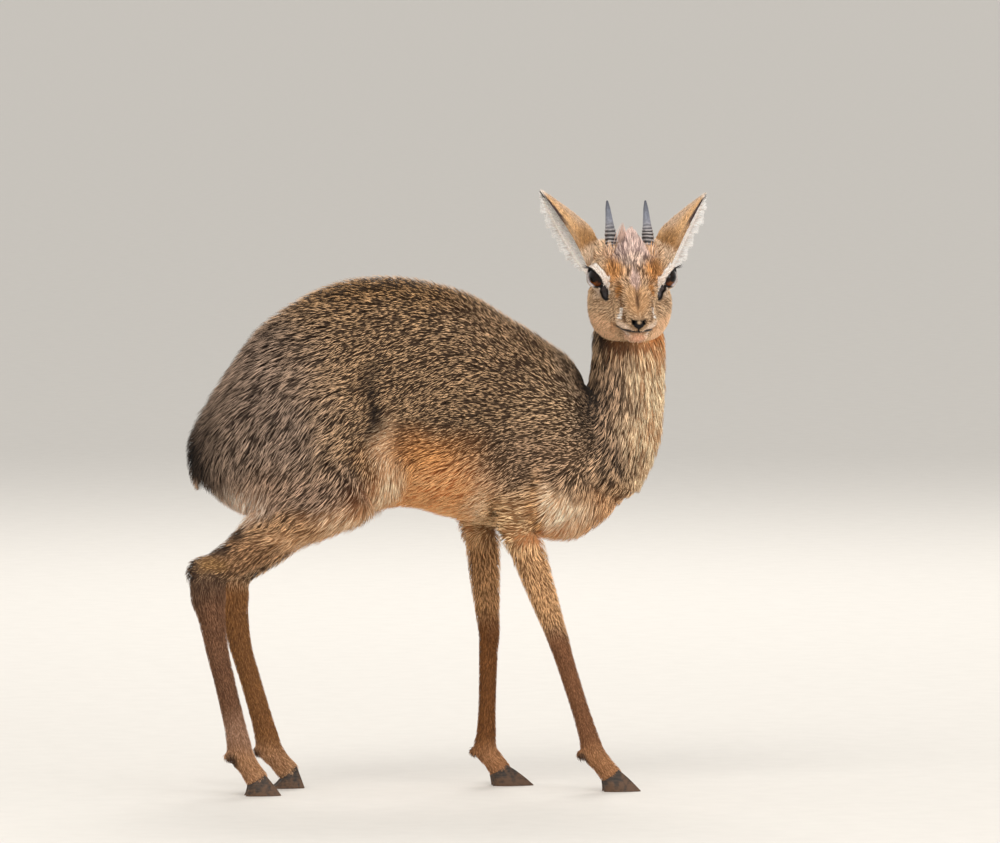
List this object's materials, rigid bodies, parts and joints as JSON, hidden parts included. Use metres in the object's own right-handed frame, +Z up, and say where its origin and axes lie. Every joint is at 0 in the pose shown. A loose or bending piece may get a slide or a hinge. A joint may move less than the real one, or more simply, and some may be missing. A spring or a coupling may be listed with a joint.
{
  "type": "standing dik-dik",
  "caption": "Life-size still model of a small horned antelope, a dik-dik, standing on all fours with its head turned to its right.",
  "frame": {"origin": "on the floor, at the middle of the footprint of the whole animal", "axes": "+X is the way the body faces, +Y is the animal's left, +Z is up"},
  "size_m": [0.462, 0.1772, 0.5231],
  "materials": {
    "body_coat": "grizzled grey-brown hair, orange on the flank, pale below",
    "neck_coat": "long grizzled hair, orange-tan towards the throat",
    "face_coat": "short ochre hair with white rings round the eyes",
    "leg_coat": "short close brown hair",
    "ear": "thin skin with short ochre hair outside and white hair inside",
    "horn": "ringed dark grey horn",
    "hoof": "dusty black horn",
    "eye": "wet dark brown"
  },
  "bodies": {
    "root": {"head": "face_coat", "neck": "neck_coat", "trunk": "body_coat", "rump": "body_coat", "tail": "body_coat", "left_ear": "ear", "right_ear": "ear", "left_horn": "horn", "right_horn": "horn", "left_eye": "eye", "right_eye": "eye", "left_fore_upper": "leg_coat", "left_fore_lower": "leg_coat", "left_fore_pastern": "leg_coat", "right_fore_upper": "leg_coat", "right_fore_lower": "leg_coat", "right_fore_pastern": "leg_coat", "left_hind_upper": "leg_coat", "left_hind_lower": "leg_coat", "left_hind_pastern": "leg_coat", "right_hind_upper": "leg_coat", "right_hind_lower": "leg_coat", "right_hind_pastern": "leg_coat", "left_fore_inner_claw": "hoof", "left_fore_outer_claw": "hoof", "right_fore_inner_claw": "hoof", "right_fore_outer_claw": "hoof", "left_hind_inner_claw": "hoof", "left_hind_outer_claw": "hoof", "right_hind_inner_claw": "hoof", "right_hind_outer_claw": "hoof"}
  },
  "joints": []
}
